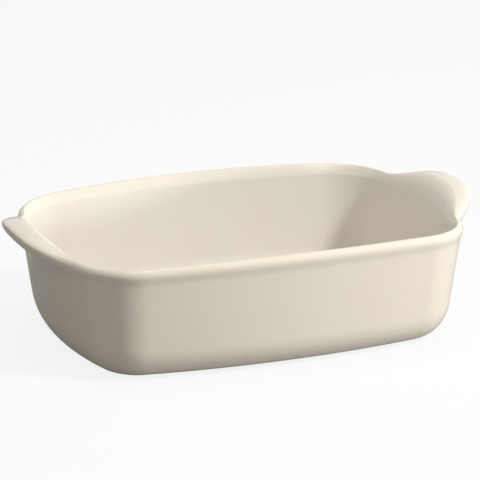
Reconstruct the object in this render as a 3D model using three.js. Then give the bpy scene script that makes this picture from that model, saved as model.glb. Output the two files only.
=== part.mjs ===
// A rectangular baking dish in glazed stoneware, with bowed sides, a rounded rim and a handle at each end.
// Millimetres, +Z up. The origin is on the table, under the middle of the dish. X runs from handle to handle.
import * as THREE from "three";
import { mergeVertices } from "three/addons/utils/BufferGeometryUtils.js";

// Plan of the rim at its widest: two long sides and two ends, each bowed outwards, with round corners
const rimLength = 264;
const rimWidth = 191;
const longSideBow = 15.6;
const endBow = 21.2;
const cornerRadius = 42;
const leastCornerRadius = 2;

// Heights, from the table to the top of the rim at the ends, and the rim's rise to the middle of the sides
const dishHeight = 71.3;
const rimCrown = 3.1;

// Walls
const wallDraft = THREE.MathUtils.degToRad(8.2);
const wallThickness = 6;
const floorThickness = 6;
const heelRise = 19;
const heelFullness = 2;
const innerHeelRadius = 14;
const glazeThickness = 0.5;

// Unglazed foot ring: its outer edge is set in from the rim's outline
const footInset = 25;
const footWidth = 6;
const footHeight = 1;
const footEdgeRadius = 0.5;

// Rim section: depths are below its top, and insets are from its widest outline
const rimBandDepth = 10.8;
const neckInset = 1.86;
const noseReach = 2.2;
const neckReach = 4;
const rimCrestInset = 3.4;
const rimNoseDepth = 3.6;
const rimInnerRoundDepth = 6.2;

// Handles: half the length along the rim, then the ridge over the handle and the lip at its edge, each by its
// reach and rise from the rim's own crest and widest line
const handleHalfLength = 55;
const ridgeReach = 8.8;
const ridgeRise = 9.5;
const lipReach = 16.2;
const lipRise = 11;

// Curves along a handle: the fullness of its middle and the power of its fade towards the ends
const reachFullness = 3.5;
const reachPower = 2.4;
const riseFullness = 2.5;
const risePower = 1.85;

// Curves across a handle: powers of the flank up to the ridge, of the top over to the lip,
// and of the underside from the lip to the neck
const flankReachPower = 2;
const flankRisePower = 1.6;
const topPower = 0.62;
const neckReachPower = 2.5;
const neckRisePower = 1.4;

// Steps that the curves are cut into
const handleColumns = 8;
const endColumns = 1;
const cornerColumns = 5;
const sideColumns = 4;
const heelRows = 5;
const wallRows = 2;
const innerHeelRows = 4;
const crestRows = 6;
const noseRows = 4;
const neckRows = 3;

const rimHalfLength = rimLength / 2;
const rimHalfWidth = rimWidth / 2;
const slope = Math.tan(wallDraft);

// Radius of an arc from its half chord and its rise
function arcRadius(halfChord, rise) {
  return (halfChord * halfChord + rise * rise) / (2 * rise);
}

const sideRadius = arcRadius(rimHalfLength, longSideBow);
const endRadius = arcRadius(rimHalfWidth, endBow);
const sideCentre = new THREE.Vector2(0, rimHalfWidth - sideRadius);
const endCentre = new THREE.Vector2(rimHalfLength - endRadius, 0);

// One quarter of the plan, set in from the rim's outline: an end arc, a corner arc and a side arc, each
// tangent to the next. The corner's centre lies inside both other arcs by the corner's radius.
function quarterPlan(inset) {
  const corner = Math.max(cornerRadius - inset, leastCornerRadius);
  const fromSide = sideRadius - inset - corner;
  const fromEnd = endRadius - inset - corner;
  const between = endCentre.clone().sub(sideCentre);
  const apart = between.length();
  const along = (fromSide ** 2 - fromEnd ** 2 + apart ** 2) / (2 * apart);
  const across = Math.sqrt(fromSide ** 2 - along ** 2);
  const ahead = between.divideScalar(apart);
  const aside = new THREE.Vector2(ahead.y, -ahead.x);
  const cornerCentre = sideCentre.clone().addScaledVector(ahead, along).addScaledVector(aside, across);
  const endTurn = cornerCentre.clone().sub(endCentre).angle();
  const sideTurn = cornerCentre.clone().sub(sideCentre).angle();
  return [
    { centre: endCentre, radius: endRadius - inset, from: 0, to: endTurn },
    { centre: cornerCentre, radius: corner, from: endTurn, to: sideTurn },
    { centre: sideCentre, radius: sideRadius - inset, from: sideTurn, to: Math.PI / 2 },
  ];
}

// Where the columns of points stand along a quarter of the rim's outline, from the middle of the end
function quarterStops() {
  const lengths = quarterPlan(0).map((arc) => arc.radius * (arc.to - arc.from));
  const stops = [];
  for (let i = 0; i <= handleColumns; i++) stops.push((handleHalfLength * i) / handleColumns);
  const least = handleHalfLength / handleColumns / 4;
  let start = 0;
  lengths.forEach((length, k) => {
    const first = Math.max(start, handleHalfLength);
    const end = start + length;
    const count = [endColumns, cornerColumns, sideColumns][k];
    for (let i = 1; i <= count; i++) {
      const stop = first + ((end - first) * i) / count;
      if (stop > stops[stops.length - 1] + least) stops.push(stop);
    }
    start = end;
  });
  return stops;
}

// A column's arc and its share of that arc
function columnAt(stop) {
  const arcs = quarterPlan(0);
  let left = stop;
  for (let k = 0; k < arcs.length; k++) {
    const length = arcs[k].radius * (arcs[k].to - arcs[k].from);
    if (left <= length || k === arcs.length - 1) return { stop, arc: k, share: Math.min(left / length, 1) };
    left -= length;
  }
}

// All columns, anticlockwise from the middle of the right end
function allColumns() {
  const quarter = quarterStops().map(columnAt);
  const signs = [
    [1, 1],
    [-1, 1],
    [-1, -1],
    [1, -1],
  ];
  return signs.flatMap(([signX, signY], k) => {
    const run = k % 2 ? quarter.toReversed() : quarter;
    return run.slice(0, -1).map((column) => ({ ...column, signX, signY }));
  });
}

const columns = allColumns();
const plans = new Map();

// The rim and the upper wall follow the crown, and the heel and the floor stay level
function crownLift(x, z) {
  const heelTop = footHeight + heelRise;
  const share = Math.max(0, (z - heelTop) / (dishHeight - heelTop));
  return rimCrown * (1 - (x / rimHalfLength) ** 2) * share * share;
}

// The point of a column at an inset and a height
function place(column, inset, z) {
  if (!plans.has(inset)) plans.set(inset, quarterPlan(inset));
  const arc = plans.get(inset)[column.arc];
  const turn = arc.from + (arc.to - arc.from) * column.share;
  const x = column.signX * (arc.centre.x + arc.radius * Math.cos(turn));
  const y = column.signY * (arc.centre.y + arc.radius * Math.sin(turn));
  return new THREE.Vector3(x, y, z + crownLift(Math.min(Math.abs(x), rimHalfLength), z));
}

// A level ring of points at a section point
function ring(point) {
  return columns.map((column) => place(column, point.x, point.y));
}

// Insets of the wall's two faces at a height
const neckHeight = dishHeight - rimBandDepth;

function outerInset(z) {
  return neckInset + (neckHeight - z) * slope;
}

function innerInset(z) {
  return outerInset(z) + wallThickness;
}

// Moves a section's points sideways, to its left for a positive distance, with the ways of its ends given
function shifted(points, distance, firstWay, lastWay) {
  return points.map((point, i) => {
    const before = i ? point.clone().sub(points[i - 1]).normalize() : firstWay;
    const after = i < points.length - 1 ? points[i + 1].clone().sub(point).normalize() : lastWay;
    let way = before.clone().add(after).normalize();
    if (i === 0) way = firstWay;
    if (i === points.length - 1) way = lastWay;
    const left = new THREE.Vector2(-way.y, way.x);
    const mitre = i === 0 || i === points.length - 1 ? 1 : way.dot(before);
    return point.clone().addScaledVector(left, distance / mitre);
  });
}

// Outer face from the foot to the neck: a heel that turns from level into the sloping wall, then the wall
function outerFace() {
  const toe = new THREE.Vector2(outerInset(footHeight), footHeight);
  const up = new THREE.Vector2(-heelRise * slope, heelRise);
  const inwards = new THREE.Vector2(footInset - toe.x, 0);
  const points = [];
  for (let i = 0; i <= heelRows; i++) {
    const turn = (Math.PI / 2) * (1 - i / heelRows);
    const rise = 1 - Math.abs(Math.sin(turn)) ** (2 / heelFullness);
    const run = 1 - Math.abs(Math.cos(turn)) ** (2 / heelFullness);
    points.push(toe.clone().addScaledVector(up, rise).addScaledVector(inwards, run));
  }
  const heelTop = footHeight + heelRise;
  for (let i = 1; i <= wallRows; i++) {
    const z = heelTop + ((neckHeight - heelTop) * i) / wallRows;
    points.push(new THREE.Vector2(outerInset(z), z));
  }
  return points;
}

// The rim's inner round is an ellipse that touches the inner wall's line
const crestToWall = innerInset(dishHeight) - rimCrestInset;
const roundLean = slope * rimInnerRoundDepth;
const roundRun = Math.sqrt((crestToWall + roundLean) ** 2 - roundLean ** 2);
const roundStart = Math.atan(roundLean / roundRun);
const innerEdge = new THREE.Vector2(
  rimCrestInset + roundRun * Math.cos(roundStart),
  dishHeight - rimInnerRoundDepth * (1 - Math.sin(roundStart)),
);

// Inner face from the rim down to the edge of the flat floor
const floorTop = footHeight + glazeThickness + floorThickness + glazeThickness;

function innerFace() {
  const points = [];
  const heelCentreZ = floorTop + innerHeelRadius;
  const heelTop = heelCentreZ - innerHeelRadius * Math.sin(wallDraft);
  const heelCentreInset = innerInset(heelTop) + innerHeelRadius * Math.cos(wallDraft);
  for (let i = 0; i < wallRows; i++) {
    const z = innerEdge.y + ((heelTop - innerEdge.y) * i) / wallRows;
    points.push(new THREE.Vector2(innerInset(z), z));
  }
  for (let i = 0; i <= innerHeelRows; i++) {
    const turn = wallDraft + ((Math.PI / 2 - wallDraft) * i) / innerHeelRows;
    const inset = heelCentreInset - innerHeelRadius * Math.cos(turn);
    points.push(new THREE.Vector2(inset, heelCentreZ - innerHeelRadius * Math.sin(turn)));
  }
  return points;
}

// The rim's section from its inner edge over the crest and the nose to the neck, with each point's share of
// its stretch: the crest stretch rises from the inner edge, and the neck stretch comes back to the wall.
function rimSection() {
  const crest = new THREE.EllipseCurve(
    rimCrestInset,
    dishHeight - rimInnerRoundDepth,
    roundRun,
    rimInnerRoundDepth,
    roundStart,
    Math.PI / 2,
  );
  const nose = new THREE.EllipseCurve(
    rimCrestInset,
    dishHeight - rimNoseDepth,
    rimCrestInset,
    rimNoseDepth,
    Math.PI / 2,
    Math.PI,
  );
  const widest = new THREE.Vector2(0, dishHeight - rimNoseDepth);
  const neck = new THREE.Vector2(neckInset, neckHeight);
  const neckCurve = new THREE.CubicBezierCurve(
    widest,
    new THREE.Vector2(widest.x, widest.y - noseReach),
    new THREE.Vector2(neck.x - neckReach * slope, neck.y + neckReach),
    neck,
  );
  const stretches = [
    ["crest", crest, crestRows],
    ["nose", nose, noseRows],
    ["neck", neckCurve, neckRows],
  ];
  return stretches.flatMap(([stretch, curve, count], k) =>
    curve
      .getPoints(count)
      .map((point, i) => ({ point, stretch, share: i / count }))
      .slice(k ? 1 : 0),
  );
}

const outwards = new THREE.Vector2(-1, 0);
const upTheWall = new THREE.Vector2(-Math.sin(wallDraft), Math.cos(wallDraft));
const outerSkin = outerFace();
const outerClay = shifted(outerSkin, -glazeThickness, outwards, upTheWall);
const innerSkin = innerFace();
const innerClay = shifted(innerSkin, -glazeThickness, upTheWall.clone().negate(), outwards.clone().negate());
const rimPoints = rimSection();
const clayFloorTop = floorTop - glazeThickness;
const clayFloorBottom = footHeight + glazeThickness;
const floorInset = innerSkin[innerSkin.length - 1].x;

// A handle lifts the rim's section and draws it out, most at the middle of the end and not at all at the
// handle's own ends. A flank climbs from the rim's inner edge to the ridge, the top runs on nearly level and
// rounds over into the lip, and the underside comes back to the neck.
function handlePoint(column, { point, stretch, share }) {
  const across = Math.min(column.stop / handleHalfLength, 1);
  const reachFade = (1 - across ** reachFullness) ** reachPower;
  const riseFade = (1 - across ** riseFullness) ** risePower;
  const sine = Math.sin((share * Math.PI) / 2);
  const cosine = Math.max(Math.cos((share * Math.PI) / 2), 0);
  const topRun = lipReach - ridgeReach + rimCrestInset;
  const topFall = ridgeRise - lipRise + rimNoseDepth;
  const moves = {
    crest: [ridgeReach * share ** flankReachPower, ridgeRise * (1 - (1 - share) ** flankRisePower)],
    nose: [
      ridgeReach + topRun * sine ** topPower - rimCrestInset * sine,
      ridgeRise - topFall * (1 - cosine ** topPower) + rimNoseDepth * (1 - cosine),
    ],
    neck: [lipReach * (1 - share ** neckReachPower), lipRise * (1 - share ** neckRisePower)],
  };
  const [out, up] = moves[stretch];
  return place(column, point.x - out * reachFade, point.y + up * riseFade);
}

// Triangles of a grid of points. Each four-cornered patch is cut along its shorter diagonal as measured on a
// grid of the same size, so that two pieces with a patch in common meet along the same edges.
function patches(measured, rows, rowLength, closeRows, closeColumns) {
  const faces = [];
  for (let i = 0; i < (closeRows ? rows : rows - 1); i++) {
    for (let j = 0; j < (closeColumns ? rowLength : rowLength - 1); j++) {
      const a = i * rowLength + j;
      const b = i * rowLength + ((j + 1) % rowLength);
      const c = ((i + 1) % rows) * rowLength + ((j + 1) % rowLength);
      const d = ((i + 1) % rows) * rowLength + j;
      const shorter = measured[a].distanceTo(measured[c]) < measured[b].distanceTo(measured[d]);
      if (shorter) faces.push([a, b, c], [a, c, d]);
      else faces.push([a, b, d], [b, c, d]);
    }
  }
  return faces;
}

// A closed mesh from points and triangles, with its faces turned outwards
function solid(points, faces) {
  const volume = faces.reduce(
    (sum, [a, b, c]) => sum + points[a].dot(points[b].clone().cross(points[c])),
    0,
  );
  const index = faces.flatMap(([a, b, c]) => (volume > 0 ? [a, b, c] : [a, c, b]));
  return mergeVertices(new THREE.BufferGeometry().setFromPoints(points).setIndex(index));
}

// Triangles that fill a flat outline and run round in the outline's own sense
function filled(outline) {
  const faces = THREE.ShapeUtils.triangulateShape(outline, []);
  const covered = faces.reduce((sum, face) => sum + THREE.ShapeUtils.area(face.map((i) => outline[i])), 0);
  const alike = covered * THREE.ShapeUtils.area(outline) > 0;
  return alike ? faces : faces.map((face) => face.toReversed());
}

// A section carried right round the plan and closed on itself
function ringSolid(section) {
  const points = section.flatMap(ring);
  return solid(points, patches(points, section.length, columns.length, true, true));
}

// A section carried right round the plan, with its first and last rings filled by flat floors
function cupSolid(section) {
  const points = section.flatMap(ring);
  const faces = patches(points, section.length, columns.length, false, true);
  const count = columns.length;
  const last = (section.length - 1) * count;
  const outline = (start) => points.slice(start, start + count).map((p) => new THREE.Vector2(p.x, p.y));
  for (const face of filled(outline(0))) faces.push(face.toReversed());
  for (const face of filled(outline(last))) faces.push(face.map((i) => last + i));
  return solid(points, faces);
}

// A flat slab with the plan's outline at an inset
function slab(inset, bottom, top) {
  const outline = ring(new THREE.Vector2(inset, 0)).map((p) => new THREE.Vector2(p.x, p.y));
  const upwards = { depth: top - bottom, bevelEnabled: false };
  return new THREE.ExtrudeGeometry(new THREE.Shape(outline), upwards).translate(0, 0, bottom);
}

// A handle fills the room between the plain rim and the drawn-out section, and closes on the rim at its ends.
// Both of its faces are cut as the plain rim is, so that they can't cross where the handle is thin.
function handleSolid(signX) {
  const own = columns
    .filter((column) => column.signX === signX && column.stop <= handleHalfLength)
    .sort((one, other) => one.stop * one.signY - other.stop * other.signY);
  const skin = rimPoints.map((row) => own.map((column) => handlePoint(column, row)));
  const seat = rimPoints.map((row) => own.map((column) => place(column, row.point.x, row.point.y)));
  const back = seat.slice(1, -1).toReversed();
  const points = [...skin, ...back].flat();
  const measured = [...seat, ...back].flat();
  return solid(points, patches(measured, skin.length + back.length, own.length, true, false));
}

// Materials: a glossy cream glaze, and the bare fired clay under it
const glaze = new THREE.MeshStandardMaterial({ color: 0xf2e8d5, roughness: 0.15, metalness: 0 });
const bareClay = new THREE.MeshStandardMaterial({ color: 0xd9c4a4, roughness: 0.85, metalness: 0 });

const dish = new THREE.Group();

function addPiece(name, geometry, material) {
  const piece = new THREE.Mesh(geometry, material);
  piece.name = name;
  dish.add(piece);
}

// Clay floor and wall
addPiece("floor", slab(floorInset, clayFloorBottom, clayFloorTop), bareClay);
addPiece(
  "wall",
  ringSolid([...outerClay, ...innerClay, new THREE.Vector2(floorInset, clayFloorBottom)]),
  bareClay,
);

// Foot ring, with a small round on both lower edges
const footInner = footInset + footWidth;
addPiece(
  "foot_ring",
  ringSolid([
    new THREE.Vector2(footInset, clayFloorBottom),
    new THREE.Vector2(footInset, footEdgeRadius),
    new THREE.Vector2(footInset + footEdgeRadius, 0),
    new THREE.Vector2(footInner - footEdgeRadius, 0),
    new THREE.Vector2(footInner, footEdgeRadius),
    new THREE.Vector2(footInner, clayFloorBottom),
  ]),
  bareClay,
);

// Rim band on the wall's top, and the handles luted over it
const rimSeat = [outerClay[outerClay.length - 1], innerClay[0]];
addPiece("rim", ringSolid([...rimPoints.map((row) => row.point), ...rimSeat]), glaze);
addPiece("left_handle", handleSolid(-1), glaze);
addPiece("right_handle", handleSolid(1), glaze);

// Glaze: the cooking surface, the outside and the hollow inside the foot ring
addPiece("inner_glaze", cupSolid([...innerSkin.toReversed(), ...innerClay]), glaze);
addPiece("outer_glaze", ringSolid([...outerSkin, ...outerClay.toReversed()]), glaze);
addPiece("base_glaze", slab(footInner, footHeight, clayFloorBottom), glaze);

export default dish;
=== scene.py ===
import math
import bpy
import numpy as np
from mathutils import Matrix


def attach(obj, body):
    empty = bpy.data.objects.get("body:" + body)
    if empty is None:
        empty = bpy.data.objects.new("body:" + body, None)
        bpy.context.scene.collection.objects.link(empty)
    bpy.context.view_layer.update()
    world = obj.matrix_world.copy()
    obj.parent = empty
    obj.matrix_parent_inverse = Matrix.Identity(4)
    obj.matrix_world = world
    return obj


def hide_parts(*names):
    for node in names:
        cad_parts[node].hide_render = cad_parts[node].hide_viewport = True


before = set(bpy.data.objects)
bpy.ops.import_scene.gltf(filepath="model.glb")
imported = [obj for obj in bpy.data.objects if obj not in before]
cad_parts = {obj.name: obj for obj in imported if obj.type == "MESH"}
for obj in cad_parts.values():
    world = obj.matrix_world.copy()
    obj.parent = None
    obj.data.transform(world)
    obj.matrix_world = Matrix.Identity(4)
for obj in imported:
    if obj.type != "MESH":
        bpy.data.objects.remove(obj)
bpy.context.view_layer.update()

print("frame loaded")

# sizes in mm, in the frame of the solids: origin under the middle of the dish, long way along X
mmPerMetre = 1000
dish = {
    "halfLength": 132.0, "halfWidth": 95.5, "sideBow": 15.6, "endBow": 21.2, "cornerRadius": 42.0,
    "height": 71.3, "crown": 3.1, "slope": math.tan(math.radians(8.2)),
    "wall": 6.0, "glaze": 0.5, "floor": 6.0,
    "heelRise": 19.0, "innerHeel": 14.0,
    "innerWallRows": 10, "innerHeelRows": 14, "outerWallRows": 10, "outerHeelRows": 20,
    "floorRings": 10, "slabRings": 6,
}

# plan: each quarter is an end arc, a corner arc and a side arc, each tangent to the next
sideRadius = (dish["halfLength"] ** 2 + dish["sideBow"] ** 2) / (2 * dish["sideBow"])
endRadius = (dish["halfWidth"] ** 2 + dish["endBow"] ** 2) / (2 * dish["endBow"])
sideCentre = np.array([0.0, dish["halfWidth"] - sideRadius])
endCentre = np.array([dish["halfLength"] - endRadius, 0.0])
fromSide = sideRadius - dish["cornerRadius"]
fromEnd = endRadius - dish["cornerRadius"]
apart = np.linalg.norm(endCentre - sideCentre)
ahead = (endCentre - sideCentre) / apart
along = (fromSide ** 2 - fromEnd ** 2 + apart ** 2) / (2 * apart)
aside = np.array([ahead[1], -ahead[0]])
cornerCentre = sideCentre + ahead * along + aside * math.sqrt(fromSide ** 2 - along ** 2)
endTurn = math.atan2(*(cornerCentre - endCentre)[::-1])
sideTurn = math.atan2(*(cornerCentre - sideCentre)[::-1])
endLength = endRadius * endTurn
cornerLength = dish["cornerRadius"] * (sideTurn - endTurn)
sideLength = sideRadius * (math.pi / 2 - sideTurn)

columnSteps = {"handle": 56, "shoulder": 26, "corner": 26, "side": 36}
shoulderPast = 8.0  # the shoulder's columns end this far past the end arc


def quarterStops():  # lengths along the rim from the middle of an end to the middle of a long side
    cornerEnd = endLength + cornerLength
    marks = [0, handle["seam"], endLength + shoulderPast, cornerEnd, cornerEnd + sideLength]
    runs = [np.linspace(a, b, n, endpoint=False)
            for a, b, n in zip(marks[:-1], marks[1:], columnSteps.values())]
    return np.append(np.concatenate(runs), marks[-1])


# a quarter's points are arc centre + radius in the arc's direction, then mirrored into the other quarters
# each row: rim point, outward direction, length from the middle of the end, sign of the end
def planColumns():
    stop = quarterStops()
    onEnd = stop <= endLength
    onCorner = (stop > endLength) & (stop <= endLength + cornerLength)
    turn = np.where(onEnd, stop / endRadius,
                    np.where(onCorner, endTurn + (stop - endLength) / dish["cornerRadius"],
                             sideTurn + (stop - endLength - cornerLength) / sideRadius))
    radius = np.where(onEnd, endRadius, np.where(onCorner, dish["cornerRadius"], sideRadius))
    centre = np.where(onEnd[:, None], endCentre, np.where(onCorner[:, None], cornerCentre, sideCentre))
    way = np.stack([np.cos(turn), np.sin(turn)], 1)
    point = centre + radius[:, None] * way
    parts = []
    for signX, signY, order in ((1, 1, 1), (-1, 1, -1), (-1, -1, 1), (1, -1, -1)):
        sign = np.array([signX, signY])
        end = np.full((len(stop), 1), signX)
        run = np.concatenate([point * sign, way * sign, stop[:, None], end], 1)[::order]
        parts.append(run[:-1])
    return np.concatenate(parts)


# rows of (inset, height) carried round the plan, lifted by a crown: a parabola along X that grows with height
def place(inset, height, inner=False):
    flat = rimLine[None] - inset[..., None] * outward[None]
    low = rimBand["joint"] if inner else footRing["height"] + dish["heelRise"]
    share = np.clip((height - low) / (dish["height"] - low), 0, None)
    bow = 1 - np.minimum(np.abs(flat[..., 0]) / dish["halfLength"], 1) ** 2
    return np.dstack([flat, height + dish["crown"] * bow * (share if inner else share ** 2)])


def spread(profile):  # the same section at every column
    return (np.repeat(profile[:, :1], columnCount, 1), np.repeat(profile[:, 1:2], columnCount, 1))


rimBand = {
    "depth": 10.8, "neckInset": 1.86, "neckReach": 2.2, "filletReach": 4.0,
    "crestInset": 3.4, "noseDepth": 3.6,
    "bevelDepth": 5.8282, "bevelEase": 0.22,  # depth of the inner bevel, and how far its two ends are eased
    "joint": 60.5,  # height where the coat inside ends and the band begins
    "wallRows": 10, "bevelRows": 30, "noseRows": 18, "neckRows": 16,
}
neckHeight = dish["height"] - rimBand["depth"]


def outerInset(z):  # the wall's outside leans in towards the foot
    return rimBand["neckInset"] + (neckHeight - z) * dish["slope"]


def innerInset(z):  # the inside runs one wall's thickness behind it
    return outerInset(z) + dish["wall"]


footRing = {"inset": 25.0, "width": 6.0, "height": 1.0, "edgeRound": 0.5, "roundRows": 6}


def outerProfile():  # the wall's outside from the neck down, then an elliptic heel to the foot
    heelTop = footRing["height"] + dish["heelRise"]
    z = np.linspace(neckHeight, heelTop, dish["outerWallRows"], endpoint=False)
    turn = np.linspace(0, math.pi / 2, dish["outerHeelRows"] + 1)
    toe = outerInset(footRing["height"])
    rise = 1 - np.sin(turn)
    run = 1 - np.cos(turn)
    inset = toe - dish["heelRise"] * dish["slope"] * rise + (footRing["inset"] - toe) * run
    heel = np.stack([inset, footRing["height"] + dish["heelRise"] * rise], 1)
    return np.concatenate([np.stack([outerInset(z), z], 1), heel])


floorTop = footRing["height"] + dish["floor"] + 2 * dish["glaze"]


def innerProfile():  # the wall's inside from the rim down, then a round heel to the flat floor
    draft = math.atan(dish["slope"])
    radius = dish["innerHeel"]
    centreZ = floorTop + radius
    heelTop = centreZ - radius * math.sin(draft)
    centreInset = innerInset(heelTop) + radius * math.cos(draft)
    z = np.linspace(rimBand["joint"], heelTop, dish["innerWallRows"], endpoint=False)
    turn = np.linspace(draft, math.pi / 2, dish["innerHeelRows"] + 1)
    heel = np.stack([centreInset - radius * np.cos(turn), centreZ - radius * np.sin(turn)], 1)
    return np.concatenate([np.stack([innerInset(z), z], 1), heel])


def cubic(ways, share):  # a cubic curve from the first point to the last, drawn towards the two between them
    t = share[:, None]
    return (ways[0] * (1 - t) ** 3 + ways[1] * 3 * t * (1 - t) ** 2
            + ways[2] * 3 * t ** 2 * (1 - t) + ways[3] * t ** 3)


# the band's section: wall inside, bevel to the crest, quarter ellipse over the nose, cubic back to the neck
# beside its points it gives each row's stretch, numbered from -1 to 2, and its share of that stretch
def rimProfile():
    wallShare, bevelShare, noseShare, neckShare = (
        np.linspace(0, 1, rimBand[k] + 1) for k in ("wallRows", "bevelRows", "noseRows", "neckRows"))
    bevelFoot = dish["height"] - rimBand["bevelDepth"]
    z = rimBand["joint"] + (bevelFoot - rimBand["joint"]) * wallShare
    wall = np.stack([innerInset(z), z], 1)
    foot = np.array([innerInset(bevelFoot), bevelFoot])
    top = np.array([rimBand["crestInset"], dish["height"]])
    run, rise = (top - foot) * [-1, 1] * rimBand["bevelEase"]
    bevel = cubic([foot, foot + [-rise * dish["slope"], rise], top + [run, 0], top], bevelShare)
    turn = math.pi / 2 * (1 + noseShare)
    nose = np.stack([rimBand["crestInset"] * (1 + np.cos(turn)),
                     dish["height"] - rimBand["noseDepth"] * (1 - np.sin(turn))], 1)
    widest = np.array([0, dish["height"] - rimBand["noseDepth"]])
    neck = np.array([rimBand["neckInset"], neckHeight])
    below = widest - [0, rimBand["neckReach"]]
    above = neck + np.array([-dish["slope"], 1]) * rimBand["filletReach"]
    back = cubic([widest, below, above, neck], neckShare)
    parts = {-1: wall, 0: bevel[1:], 1: nose[1:], 2: back[1:]}
    stretch = np.concatenate([np.full(len(p), k) for k, p in parts.items()])
    shares = np.concatenate([wallShare - 1, bevelShare[1:], noseShare[1:], neckShare[1:]])
    return np.concatenate(list(parts.values())), stretch, shares


rimRows, rimStretch, rimShare = rimProfile()


handle = {
    "half": 55.0, "seam": 51.0,  # where the form fades out, and where the handle's own piece ends
    "lipReach": 16.2, "lipRise": 11.0, "ridgeReach": 8.8, "ridgeRise": 9.5,
    "reachFullness": 3.5, "reachPower": 2.4, "riseFullness": 2.5, "risePower": 1.85,
    "flankReach": 2.0, "flankRise": 1.6, "topPower": 0.62, "neckReach": 2.5, "neckRise": 1.4,
    "tuck": 0.5, "seatShare": 0.4,  # how deep the band lies under a handle, and the seat's share of that
}


# how far each row is drawn out and lifted into a handle: powers of its share up the flank to the ridge,
# a squarish quarter round from there to the lip, and powers back to the neck
# along the end both fade as (1 - across ** fullness) ** power
def handleLift():
    across = np.minimum(stops / handle["half"], 1)
    reachFade = (1 - across ** handle["reachFullness"]) ** handle["reachPower"]
    riseFade = (1 - across ** handle["riseFullness"]) ** handle["risePower"]
    s = np.maximum(rimShare, 0)
    sine, cosine = np.sin(s * math.pi / 2), np.clip(np.cos(s * math.pi / 2), 0, 1)
    topRun = handle["lipReach"] - handle["ridgeReach"] + rimBand["crestInset"]
    topFall = handle["ridgeRise"] - handle["lipRise"] + rimBand["noseDepth"]
    flank, top = rimStretch < 1, rimStretch == 1
    drawn = np.select([flank, top], [handle["ridgeReach"] * s ** handle["flankReach"],
                                     handle["ridgeReach"] + topRun * sine ** handle["topPower"]
                                     - rimBand["crestInset"] * sine],
                      handle["lipReach"] * (1 - s ** handle["neckReach"]))
    lifted = np.select([flank, top], [handle["ridgeRise"] * (1 - (1 - s) ** handle["flankRise"]),
                                      handle["ridgeRise"] - topFall * (1 - cosine ** handle["topPower"])
                                      + rimBand["noseDepth"] * (1 - cosine)],
                       handle["lipRise"] * (1 - s ** handle["neckRise"]))
    return drawn[:, None] * reachFade[None], lifted[:, None] * riseFade[None]


columns = planColumns()
rimLine, outward, stops, endSign = columns[:, :2], columns[:, 2:4], columns[:, 4], columns[:, 5]
columnCount = len(columns)
print("plan columns", columnCount)


def smooth(t):  # eases from 0 to 1
    t = np.clip(t, 0, 1)
    return t * t * (3 - 2 * t)


tiny = 1e-9


def unit(vectors):  # each vector at length 1
    return vectors / np.maximum(np.linalg.norm(vectors, axis=-1, keepdims=True), tiny)


def roundStep(grid):  # from the column before to the column after, right round the dish
    return np.roll(grid, -1, 1) - np.roll(grid, 1, 1)


def gridNormals(grid):  # normals of a surface that closes round its columns: its two directions crossed
    return unit(np.cross(np.gradient(grid, axis=0), roundStep(grid)))


sharpestBend = 0.5  # per mm
leastStep = 1e-6  # mm squared


def gridBend(grid, normals):  # how fast the normal turns both ways: above 0 on edges, below 0 in hollows
    def turning(move, turn):
        return (move * turn).sum(-1) / np.maximum((move * move).sum(-1), leastStep)

    down = np.pad(turning(grid[2:] - grid[:-2], normals[2:] - normals[:-2]), ((1, 1), (0, 0)), "edge")
    return np.clip(down + turning(roundStep(grid), roundStep(normals)), -sharpestBend, sharpestBend)


def gridFaces(rows, count, closeRows, closeColumns):  # four-cornered faces of a grid of points
    i = np.arange(rows if closeRows else rows - 1)
    j = np.arange(count if closeColumns else count - 1)
    i, j = (v.ravel() for v in np.meshgrid(i, j, indexing="ij"))
    nextI, nextJ = (i + 1) % rows, (j + 1) % count
    return np.stack([i * count + j, nextI * count + j, nextI * count + nextJ, i * count + nextJ], 1)


weldDigits = 4  # points alike to this many digits of a mm are one


def weld(points, faces):  # joins points that fall together and drops the faces that close up
    _, first, back = np.unique(np.round(points, weldDigits), axis=0, return_index=True, return_inverse=True)
    faces = back.reshape(-1)[faces]
    kept = [list(dict.fromkeys(f)) for f in faces.tolist()]
    return first, [f for f in kept if len(f) > 2]


# a smooth closed mesh in metres from a grid in mm, with its own normals
# its mask of the inside is 1 where the inside is painted paler for the brighter light there, and bend is the
# surface's turning
def makePiece(name, rows, faces, normals, lit_inside=0.0, bend=0.0):
    points = rows.reshape(-1, 3)
    first, kept = weld(points, faces)
    mesh = bpy.data.meshes.new(name)
    mesh.from_pydata((points[first] / mmPerMetre).tolist(), [], kept)
    mesh.polygons.foreach_set("use_smooth", np.ones(len(mesh.polygons), bool))
    mesh.update()
    mesh.normals_split_custom_set_from_vertices(normals.reshape(-1, 3)[first].tolist())
    for label, values in (("lit_inside", lit_inside), ("bend", bend)):
        full = np.broadcast_to(values, rows.shape[:2]).ravel()[first]
        mesh.attributes.new(label, "FLOAT", "POINT").data.foreach_set("value", full.astype(np.float32))
    piece = bpy.data.objects.new(name, mesh)
    bpy.context.scene.collection.objects.link(piece)
    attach(piece, "root")
    print("piece", name, len(mesh.polygons), "faces")
    return piece


def onRows(values, rows, first=0):  # values on a piece's rows from the first on, and 0 on the rest
    full = np.zeros(rows.shape[:2])
    full[first:first + len(values)] = values
    return full


def ringPiece(name, rows, shown=slice(0)):  # a closed ring, whose first rows are the skin's shown ones
    normals = unit(np.cross(np.roll(rows, -1, 0) - np.roll(rows, 1, 0), roundStep(rows)))
    normals[:len(skinNormals[shown])] = skinNormals[shown]
    faces = gridFaces(len(rows), columnCount, True, True)
    lit_inside, bend = (onRows(v[shown], rows) for v in (skinLitInside, skinBend))
    return makePiece(name, rows, faces, normals, lit_inside, bend)


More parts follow.
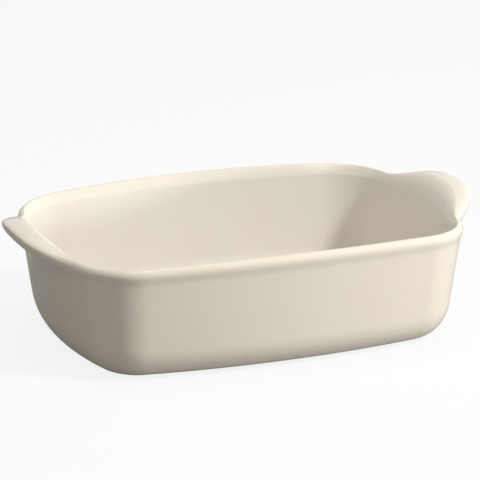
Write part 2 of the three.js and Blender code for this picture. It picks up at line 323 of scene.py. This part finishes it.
def rings(edge, count):  # a flat floor: the edge drawn in to its middle, first the middle and last the edge
    share = np.linspace(0, 1, count + 1)[:-1, None, None]
    middle = np.array([0, 0, edge[0, 2]])
    return middle + (edge[None] - middle) * share


def offsetProfile(profile, distance):  # a section moved along its normal by the thickness of the glaze
    along = np.gradient(profile, axis=0)
    along /= np.linalg.norm(along, axis=1, keepdims=True)
    return profile + distance * np.stack([-along[:, 1], along[:, 0]], 1)


# the whole glazed skin on one grid: inside from the floor up, rim with its handles, outside down to the foot
innerRows = innerProfile()
outerRows = outerProfile()
drawnOut, liftedUp = handleLift()
rimInset, rimHeight = spread(rimRows)
innerSide = (rimStretch < 1)[:, None, None]


def placeRim(drawn, lifted):  # rows up to the crest are crowned as the inside is, the others as the outside
    inset, height = rimInset - drawn, rimHeight + lifted
    return np.where(innerSide, place(inset, height, True), place(inset, height))


plainRim = placeRim(0, 0)
dressedRim = placeRim(drawnOut, liftedUp)
inside = place(*spread(innerRows[::-1]), True)
outside = place(*spread(outerRows))
skin = np.concatenate([inside, dressedRim[1:], outside[1:]])
skinNormals = gridNormals(skin)
skinBend = gridBend(skin, skinNormals)
firstRim = len(inside) - 1
lastRim = firstRim + len(rimRows) - 1
rimShown = slice(firstRim, lastRim + 1)
skinLitInside = np.zeros(skin.shape[:2])  # 1 on the inside, painted paler there for the brighter light it gets, fading out over the bevel
skinLitInside[:firstRim + 1] = 1
skinLitInside[rimShown] = np.where(rimStretch < 1, smooth(1 - rimShare), 0)[:, None]
innerClay = offsetProfile(innerRows, -dish["glaze"])
outerClay = offsetProfile(outerRows, dish["glaze"])
floorInset = innerRows[-1, 0]
print("skin grid", skin.shape)


def slabPiece(name, edgeInset, low, high):  # a flat slab with the plan's outline
    bottom, top = (place(*spread(np.array([[edgeInset, z]]))) for z in (low, high))
    count = dish["slabRings"]
    rows = np.concatenate([rings(top[0], count), top, bottom, rings(bottom[0], count)[::-1]])
    normals = np.zeros_like(rows)
    normals[:len(rows) // 2, :, 2] = 1
    normals[len(rows) // 2:, :, 2] = -1
    return makePiece(name, rows, gridFaces(len(rows), columnCount, False, True), normals)


def insideGlaze():  # cooking surface: flat floor, heel and wall up to the rim, over a coat of even thickness
    count = dish["floorRings"]
    top = np.concatenate([rings(inside[0], count), inside])
    back = place(*spread(innerClay), True)
    rows = np.concatenate([top, back, rings(back[-1], count)[::-1]])
    normals = gridNormals(rows)
    normals[:count] = [0, 0, 1]
    normals[count:len(top)] = skinNormals[:firstRim + 1]
    normals[-count:] = [0, 0, -1]
    faces = gridFaces(len(rows), columnCount, False, True)
    bend = onRows(skinBend[:firstRim + 1], rows, count)
    # the whole inside takes the paler tone painted for its brighter light
    return makePiece("glazed_inside", rows, faces, normals, 1.0, bend)


# under a handle the band lies a little inside its plain form, and past the seams it has the dressed form
seamSlack = 1e-6  # mm
cover = np.clip(np.linalg.norm(dressedRim - plainRim, axis=-1) / handle["tuck"], 0, 1)
tuckedRim = plainRim - gridNormals(plainRim) * cover[..., None] * handle["tuck"]
tuckedRim = np.where((stops < handle["seam"] - seamSlack)[None, :, None], tuckedRim, dressedRim)


def handlePiece(name, sign):  # the drawn-out rim over a seat just under the plain rim, closed at its edges
    own = np.flatnonzero((endSign == sign) & (stops <= handle["seam"] + seamSlack))
    own = own[np.argsort(rimLine[own, 1] * sign)]
    first = rimBand["wallRows"]
    top = dressedRim[first:, own]
    seat = (plainRim + (tuckedRim - plainRim) * handle["seatShare"])[first:, own]
    seat[:, [0, -1]] = top[:, [0, -1]]
    shown = slice(firstRim + first, lastRim + 1)
    topNormals, lit_inside, bend = (v[shown, own] for v in (skinNormals, skinLitInside, skinBend))
    rows = np.concatenate([top, seat[-2:0:-1]])
    normals = np.concatenate([topNormals, -topNormals[-2:0:-1]])
    faces = gridFaces(len(rows), len(own), True, False)
    return makePiece(name, rows, faces, normals, onRows(lit_inside, rows), onRows(bend, rows))


def footPiece():  # a low ring whose lower edges are quarter rounds
    turn = np.linspace(0, math.pi / 2, footRing["roundRows"] + 1)
    lowRound = footRing["edgeRound"] * np.stack([1 - np.cos(turn), 1 - np.sin(turn)], 1)
    outer, inner = footRing["inset"], footIn
    rows = np.concatenate([[[outer, clayBottom]], [outer, 0] + lowRound,
                           ([inner, 0] + lowRound * [-1, 1])[::-1], [[inner, clayBottom]]])
    return ringPiece("foot", place(*spread(rows)))


def wallPiece():  # the clay between the two coats, from the rim down and up again
    down = place(*spread(np.append(outerClay, [[floorInset, clayBottom]], 0)))
    return ringPiece("clay_wall", np.concatenate([down, place(*spread(innerClay[::-1]), True)]))


clayBottom = footRing["height"] + dish["glaze"]
footIn = footRing["inset"] + footRing["width"]
outsideRows = np.concatenate([outside, place(*spread(outerClay[::-1]))])
rimSeat = [place(*spread(outerClay[:1])), place(*spread(innerClay[:1]), True)]
pieces = {}
pieces["inner_glaze"] = insideGlaze()
pieces["outer_glaze"] = ringPiece("glazed_outside", outsideRows, slice(lastRim, None))
pieces["rim"] = ringPiece("rim_band", np.concatenate([tuckedRim, *rimSeat]), rimShown)
pieces["left_handle"] = handlePiece("handle_left", -1)
pieces["right_handle"] = handlePiece("handle_right", 1)
pieces["foot_ring"] = footPiece()
pieces["base_glaze"] = slabPiece("glazed_base", footIn, footRing["height"], clayBottom)
pieces["floor"] = slabPiece("clay_floor", floorInset, clayBottom, floorTop - dish["glaze"])
pieces["wall"] = wallPiece()
print("pieces", len(pieces))


def addNode(tree, kind, **values):  # a node with its properties set
    node = tree.nodes.new("ShaderNode" + kind)
    for key, value in values.items():
        setattr(node, key, value)
    return node


def noise(tree, vector, size, detail, label):  # soft noise with a period in mm
    node = addNode(tree, "TexNoise", label=label)
    node.inputs["Detail"].default_value = detail
    tree.links.new(vector, node.inputs["Vector"])
    tree.links.new(size, node.inputs["Scale"])
    return node.outputs["Fac"]


surfaceSizes = {  # sockets of the shared surface in mm, except the speck's radius, a share of its cell
    "Cloud Size": 30.0, "Ripple Size": 10.0, "Peel Size": 1.5, "Speck Spacing": 6.0, "Speck Radius": 0.1,
}
surfaceDetail = {"Cloud": 2.0, "Ripple": 1.0, "Peel": 1.0}


def firedSurface():  # clouds, ripples, orange peel and specks of a fired surface, each with its own size
    tree = bpy.data.node_groups.new("fired_surface", "ShaderNodeTree")
    face = tree.interface
    face.new_socket("Vector", in_out="INPUT", socket_type="NodeSocketVector")
    for label, value in surfaceSizes.items():
        face.new_socket(label, in_out="INPUT", socket_type="NodeSocketFloat").default_value = value
    for label in ("Cloud", "Ripple", "Peel", "Specks"):
        face.new_socket(label, in_out="OUTPUT", socket_type="NodeSocketFloat")
    given, result = tree.nodes.new("NodeGroupInput"), tree.nodes.new("NodeGroupOutput")
    vector = given.outputs["Vector"]
    link = tree.links.new

    def perMetre(label):  # a size in mm as a scale on coordinates in metres
        node = addNode(tree, "Math", operation="DIVIDE")
        node.inputs[0].default_value = mmPerMetre
        link(given.outputs[label], node.inputs[1])
        return node.outputs[0]

    for label, detail in surfaceDetail.items():
        link(noise(tree, vector, perMetre(label + " Size"), detail, label), result.inputs[label])
    cells = addNode(tree, "TexVoronoi", feature="F1")
    link(vector, cells.inputs["Vector"])
    link(perMetre("Speck Spacing"), cells.inputs["Scale"])
    ramp = addNode(tree, "MapRange", interpolation_type="SMOOTHSTEP")  # 1 at a cell's point, then down to 0
    link(cells.outputs["Distance"], ramp.inputs["Value"])
    link(given.outputs["Speck Radius"], ramp.inputs["From Max"])
    ramp.inputs["To Min"].default_value = 1
    ramp.inputs["To Max"].default_value = 0
    split = addNode(tree, "SeparateColor")
    link(cells.outputs["Color"], split.inputs[0])
    some = addNode(tree, "Math", operation="MULTIPLY")  # each cell's speck has its own strength
    link(ramp.outputs["Result"], some.inputs[0])
    link(split.outputs[0], some.inputs[1])
    link(some.outputs[0], result.inputs["Specks"])
    return tree


surfaceGroup = firedSurface()


def surfaceNode(tree, settings):  # the shared surface placed in a material with the material's own sizes
    node = addNode(tree, "Group")
    node.node_tree = surfaceGroup
    coordinates = addNode(tree, "TexCoord")
    tree.links.new(coordinates.outputs["Object"], node.inputs["Vector"])
    for label, value in settings["sizes"].items():
        node.inputs[label].default_value = value
    return node.outputs


def mixColor(tree, share, first, second):  # first where the share is 0, second where it is 1
    node = addNode(tree, "Mix", data_type="RGBA")
    tree.links.new(share, node.inputs["Factor"])
    sockets = [i for i in node.inputs if i.type == "RGBA"]
    for value, socket in zip((first, second), sockets):
        if isinstance(value, tuple):
            socket.default_value = value
        else:
            tree.links.new(value, socket)
    return [o for o in node.outputs if o.type == "RGBA"][0]


def ranged(tree, value, source, target):  # a value carried from the source range to the target, ends held
    node = addNode(tree, "MapRange")
    tree.links.new(value, node.inputs["Value"])
    for label, number in zip(("From Min", "From Max", "To Min", "To Max"), (*source, *target)):
        node.inputs[label].default_value = number
    return node.outputs["Result"]


def tinted(tree, color, value, tint, source, share):  # a colour drawn to a tint over the value's range
    return mixColor(tree, ranged(tree, value, source, (0, share)), color, tint)


def bumped(tree, shader, outputs, settings):  # ripples and orange peel as two small bumps, heights in mm
    normal = None
    for label, key in (("Ripple", "ripple"), ("Peel", "peel")):
        bump = addNode(tree, "Bump")
        bump.inputs["Distance"].default_value = settings[key] / mmPerMetre
        tree.links.new(outputs[label], bump.inputs["Height"])
        if normal:
            tree.links.new(normal, bump.inputs["Normal"])
        normal = bump.outputs["Normal"]
    tree.links.new(normal, shader.inputs["Normal"])


def blankMaterial(name):  # a material with its tree and its shader
    material = bpy.data.materials.new(name)
    material.use_nodes = True
    return material, material.node_tree, material.node_tree.nodes["Principled BSDF"]


glaze = {  # a range says where a tint starts and where it is full
    "outside": (0.866, 0.799, 0.678, 1), "inside": (0.855, 0.815, 0.742, 1),  # outside tone, and the inside painted paler and less saturated for the brighter light it gets
    "thin": (0.845, 0.765, 0.625, 1), "thinBend": (0.03, 0.35), "thinShare": 0.35,  # drawn off an edge
    "pooled": (0.88, 0.825, 0.74, 1), "pooledBend": (-0.02, -0.2), "pooledShare": 0.5,  # lying in a hollow
    "paleCloud": (0.5, 0.75), "warmCloud": (0.5, 0.25), "cloudShare": 0.2,
    "speck": (0.62, 0.50, 0.34, 1), "speckRange": (0.45, 0.9), "speckShare": 0.5,
    "rough": (0.14, 0.22), "roughRange": (0.3, 0.7), "ripple": 0.05, "peel": 0.012,
    "sizes": {"Cloud Size": 34.0, "Ripple Size": 11.0, "Peel Size": 1.6,
              "Speck Spacing": 6.5, "Speck Radius": 0.055},
}


def glazeMaterial():  # cream glaze: painted paler inside for the brighter light there, paler where it pools in hollows, warmer on edges, cloudy, with faint specks
    material, tree, shader = blankMaterial("cream_glaze")
    surface = surfaceNode(tree, glaze)
    lit_inside = addNode(tree, "Attribute", attribute_name="lit_inside").outputs["Fac"]
    bend = addNode(tree, "Attribute", attribute_name="bend").outputs["Fac"]
    # painted light: the inside's paler, less saturated colour stands in for the brighter light it gets
    color = mixColor(tree, lit_inside, glaze["outside"], glaze["inside"])
    color = tinted(tree, color, bend, glaze["thin"], glaze["thinBend"], glaze["thinShare"])
    color = tinted(tree, color, bend, glaze["pooled"], glaze["pooledBend"], glaze["pooledShare"])
    color = tinted(tree, color, surface["Cloud"], glaze["pooled"], glaze["paleCloud"], glaze["cloudShare"])
    color = tinted(tree, color, surface["Cloud"], glaze["thin"], glaze["warmCloud"], glaze["cloudShare"])
    color = tinted(tree, color, surface["Specks"], glaze["speck"], glaze["speckRange"], glaze["speckShare"])
    tree.links.new(color, shader.inputs["Base Color"])
    rough = ranged(tree, surface["Ripple"], glaze["roughRange"], glaze["rough"])
    tree.links.new(rough, shader.inputs["Roughness"])
    bumped(tree, shader, surface, glaze)
    return material


bareClay = {
    "light": (0.72, 0.58, 0.40, 1), "dark": (0.62, 0.47, 0.30, 1), "cloudRange": (0.35, 0.65),
    "grainRange": (0.4, 0.65), "grainShare": 0.35,
    "speck": (0.33, 0.22, 0.13, 1), "speckRange": (0.3, 0.8), "speckShare": 0.75,
    "rough": (0.80, 0.95), "roughRange": (0.3, 0.7), "ripple": 0.10, "peel": 0.06,
    "sizes": {"Cloud Size": 22.0, "Ripple Size": 3.2, "Peel Size": 0.5,
              "Speck Spacing": 1.9, "Speck Radius": 0.16},
}


def clayMaterial():  # bare fired clay: two tones in clouds, dark grains, rough
    material, tree, shader = blankMaterial("fired_clay")
    surface = surfaceNode(tree, bareClay)
    dark = bareClay["dark"]
    color = tinted(tree, bareClay["light"], surface["Cloud"], dark, bareClay["cloudRange"], 1)
    color = tinted(tree, color, surface["Peel"], dark, bareClay["grainRange"], bareClay["grainShare"])
    color = tinted(tree, color, surface["Specks"], bareClay["speck"],
                   bareClay["speckRange"], bareClay["speckShare"])
    tree.links.new(color, shader.inputs["Base Color"])
    rough = ranged(tree, surface["Peel"], bareClay["roughRange"], bareClay["rough"])
    tree.links.new(rough, shader.inputs["Roughness"])
    bumped(tree, shader, surface, bareClay)
    return material


creamGlaze = glazeMaterial()
firedClay = clayMaterial()
for node, piece in pieces.items():
    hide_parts(node)
    isClay = node in ("floor", "wall", "foot_ring")
    piece.data.materials.append(firedClay if isClay else creamGlaze)
print("materials", creamGlaze.name, firedClay.name)


def direction(azimuth, elevation):  # unit vector from angles in degrees, azimuth from the front towards +X
    az, el = math.radians(azimuth), math.radians(elevation)
    return np.array([math.sin(az) * math.cos(el), -math.cos(az) * math.cos(el), math.sin(el)])


def aimed(obj, target, azimuth, elevation, distance):  # puts an object at a distance, looking at the target
    obj.location = np.array(target) + direction(azimuth, elevation) * distance
    obj.rotation_euler = (math.pi / 2 - math.radians(elevation), 0, math.radians(azimuth))
    bpy.context.scene.collection.objects.link(obj)


# camera at the photograph's angle
view = {
    "azimuth": -21.43, "elevation": 17.47, "distance": 1.96078, "target": (0.00041, 0, 0.0559),
    "lens": 238.01, "sensor": 36,
}
camera = bpy.data.objects.new("camera", bpy.data.cameras.new("camera"))
camera.data.lens = view["lens"]
camera.data.sensor_width = view["sensor"]
aimed(camera, view["target"], view["azimuth"], view["elevation"], view["distance"])
scene = bpy.context.scene
scene.camera = camera
scene.view_settings.view_transform = "Standard"
print("camera", list(camera.location))

# floor, world and lamps
studio = {
    "floorSize": 8.0, "floorColor": (0.32, 0.32, 0.32, 1), "seenColor": (0.95, 0.95, 0.95, 1),
    "floorGlow": 0.86, "floorGloss": 0.15,  # how much of the white the camera sees, and gloss and glass
    "worldLevel": 0.37, "worldColor": (1, 0.965, 0.91, 1), "worldGlow": 1.0, "worldGloss": 1.0,
    "white": (1, 1, 1, 1), "lampDistance": 1.7, "lampTarget": (0, 0, 0.04),
}
lamps = {  # lamps without gloss light the dish and leave no streak on it
    "key": {"azimuth": 42, "elevation": 42, "size": 0.25, "watts": 14.8, "gloss": False},
    "low": {"azimuth": 52, "elevation": 4.2, "size": 0.18, "watts": 11.0, "gloss": False},
    "top": {"azimuth": 180, "elevation": 86, "size": 0.8, "watts": 4.4, "gloss": True},
    "shine": {"azimuth": 50, "elevation": 10, "size": 0.6, "watts": 0.8, "gloss": True},
}
half = studio["floorSize"] / 2
corners = [(-half, -half, 0), (half, -half, 0), (half, half, 0), (-half, half, 0)]
tableMesh = bpy.data.meshes.new("table")
tableMesh.from_pydata(corners, [], [(0, 1, 2, 3)])
table = bpy.data.objects.new("table", tableMesh)
scene.collection.objects.link(table)


def seenShare(tree, glow, gloss):  # how much of the white is seen: by the camera, and by gloss and glass
    path = addNode(tree, "LightPath")
    either = addNode(tree, "Math", operation="MAXIMUM")
    tree.links.new(path.outputs["Is Glossy Ray"], either.inputs[0])
    tree.links.new(path.outputs["Is Transmission Ray"], either.inputs[1])
    soft = addNode(tree, "Math", operation="MULTIPLY")
    tree.links.new(either.outputs[0], soft.inputs[0])
    soft.inputs[1].default_value = gloss
    full = addNode(tree, "Math", operation="MULTIPLY_ADD")
    tree.links.new(path.outputs["Is Camera Ray"], full.inputs[0])
    full.inputs[1].default_value = glow
    tree.links.new(soft.outputs[0], full.inputs[2])
    return full.outputs[0]


def mixShaders(tree, share, first, second, target):  # two shaders mixed into the tree's surface
    mix = addNode(tree, "MixShader")
    tree.links.new(share, mix.inputs["Fac"])
    tree.links.new(first.outputs[0], mix.inputs[1])
    tree.links.new(second.outputs[0], mix.inputs[2])
    tree.links.new(mix.outputs[0], addNode(tree, target).inputs["Surface"])


def tableMaterial():  # grey paper that the camera sees nearly white, with its shadow kept
    material = bpy.data.materials.new("pale_table")
    material.use_nodes = True
    material.cycles.emission_sampling = "NONE"  # seen, but no lamp
    tree = material.node_tree
    tree.nodes.clear()
    paper = addNode(tree, "BsdfDiffuse")
    seen = addNode(tree, "LightPath").outputs["Is Camera Ray"]
    tree.links.new(mixColor(tree, seen, studio["floorColor"], studio["seenColor"]), paper.inputs["Color"])
    share = seenShare(tree, studio["floorGlow"], studio["floorGloss"])
    mixShaders(tree, share, paper, addNode(tree, "Emission"), "OutputMaterial")
    return material


def studioWorld():  # soft light all round, which the camera, gloss and glass see as white
    world = bpy.data.worlds.new("studio")
    world.use_nodes = True
    tree = world.node_tree
    tree.nodes.clear()
    fill = addNode(tree, "Background")
    fill.inputs["Strength"].default_value = studio["worldLevel"]
    fill.inputs["Color"].default_value = studio["worldColor"]
    white = addNode(tree, "Background")
    white.inputs["Color"].default_value = studio["white"]
    share = seenShare(tree, studio["worldGlow"], studio["worldGloss"])
    mixShaders(tree, share, fill, white, "OutputWorld")
    return world


table.data.materials.append(tableMaterial())
scene.world = studioWorld()
for name, lamp in lamps.items():
    data = bpy.data.lights.new(name, "AREA")
    data.shape = "DISK"
    data.size = lamp["size"]
    data.energy = lamp["watts"]
    obj = bpy.data.objects.new(name, data)
    obj.visible_glossy = lamp["gloss"]
    aimed(obj, studio["lampTarget"], lamp["azimuth"], lamp["elevation"], studio["lampDistance"])
print("lamps", len(lamps))
